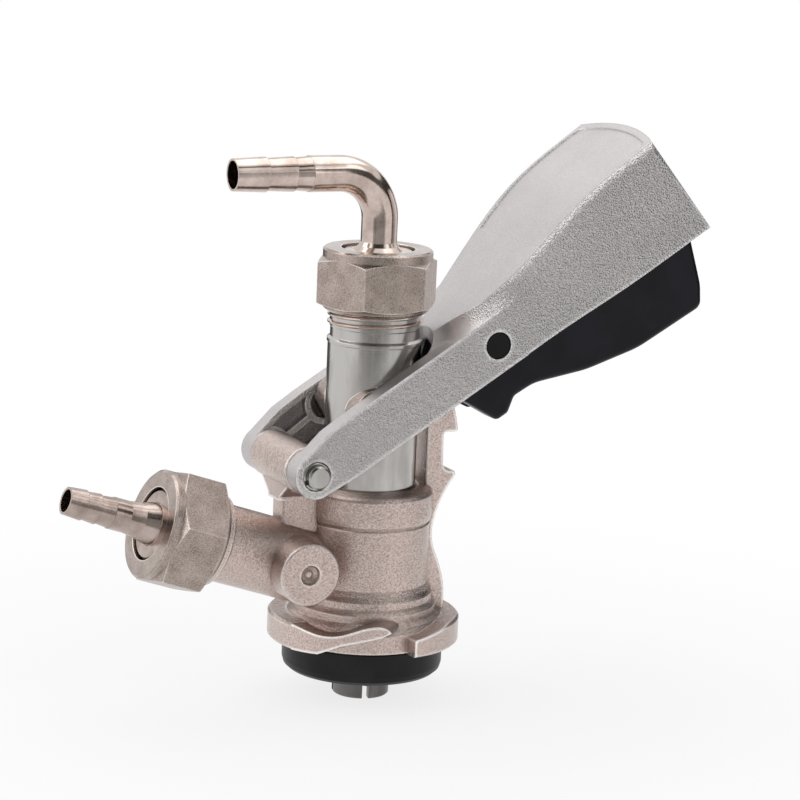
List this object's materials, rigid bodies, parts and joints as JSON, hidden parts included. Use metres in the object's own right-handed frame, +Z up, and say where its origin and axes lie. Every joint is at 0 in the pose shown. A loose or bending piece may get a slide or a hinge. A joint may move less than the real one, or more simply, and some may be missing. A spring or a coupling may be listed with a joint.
{
  "type": "keg coupler",
  "caption": "Lever-handled keg coupler: bayonet body, sliding beer probe with elbow, sloping gas inlet, hexagon union nuts with hose tails, and a sprung trigger grip under the handle.",
  "frame": {"origin": "on the probe axis, at the underside of the body flange that the bayonet lugs stand on", "axes": "+Z up along the probe axis, +X toward the handle grip, gas inlet toward -X, +Y by the right-hand rule"},
  "size_m": [0.1615, 0.046, 0.1379],
  "materials": {
    "nickel_cast": "grainy nickel plating over a brass casting",
    "nickel_turned": "satin nickel plating over turned brass",
    "nickel_polished": "bright nickel plating over brass tube",
    "stainless": "polished stainless steel",
    "spring_steel": "bright spring steel",
    "handle_casting": "satin cast alloy, hammered on the side walls",
    "black_plastic": "satin black moulded plastic",
    "black_pin": "blackened steel",
    "black_rubber": "satin black rubber",
    "grey_washer": "grey sealing washer",
    "white_plastic": "natural moulded plastic"
  },
  "bodies": {
    "coupler_body": {"body_casting": "nickel_cast", "body_seal": "black_rubber", "gland_rings": "black_rubber", "gas_check_valve": "black_rubber", "gas_washer": "grey_washer", "hinge_pin": "stainless", "hinge_snap_rings": "spring_steel"},
    "probe": {"probe_tube": "stainless", "guide_studs": "nickel_turned", "probe_nose": "stainless", "probe_seal": "black_rubber", "ball_seat": "grey_washer", "ball_cage": "white_plastic", "beer_washer": "grey_washer"},
    "ball": {"check_ball": "stainless"},
    "beer_union": {"beer_nut": "nickel_turned"},
    "elbow": {"beer_elbow": "nickel_polished"},
    "gas_union": {"gas_nut": "nickel_turned"},
    "gas_tail": {"gas_tail_piece": "nickel_polished"},
    "lever": {"handle": "handle_casting", "trigger_pin": "black_pin", "trigger_spring": "spring_steel"},
    "trigger": {"trigger_grip": "black_plastic", "claw_pin": "spring_steel"}
  },
  "joints": [
    {"name": "handle_hinge", "type": "hinge", "parent": "coupler_body", "child": "lever", "pos_m": [-0.0211, 0, 0.0441], "axis": [0, 1, 0], "range_deg": [0, 21]},
    {"name": "probe_slide", "type": "slide", "parent": "coupler_body", "child": "probe", "axis": [0, 0, -1], "range_m": [0, 0.0078]},
    {"name": "trigger_pivot", "type": "hinge", "parent": "lever", "child": "trigger", "pos_m": [0.02482, 0, 0.07327], "axis": [0, 1, 0], "range_deg": [-8, 13], "stiffness_Nm_per_rad": 1},
    {"name": "ball_lift", "type": "slide", "parent": "probe", "child": "ball", "axis": [0, 0, 1], "range_m": [0, 0.003]},
    {"name": "beer_nut_turn", "type": "hinge", "parent": "probe", "child": "beer_union", "pos_m": [0, 0, 0.0874], "axis": [0, 0, 1], "continuous": true},
    {"name": "elbow_swivel", "type": "hinge", "parent": "probe", "child": "elbow", "pos_m": [0, 0, 0.0884], "axis": [0, 0, 1], "continuous": true},
    {"name": "gas_nut_turn", "type": "hinge", "parent": "coupler_body", "child": "gas_union", "pos_m": [-0.04869, 0, 0.02902], "axis": [-0.9511, 0, 0.309], "continuous": true},
    {"name": "gas_tail_swivel", "type": "hinge", "parent": "coupler_body", "child": "gas_tail", "pos_m": [-0.05706, 0, 0.03174], "axis": [-0.9511, 0, 0.309], "continuous": true}
  ],
  "couplings": [
    {"joint": "probe_slide", "follows": "handle_hinge", "m_per_rad": 0.02128}
  ]
}
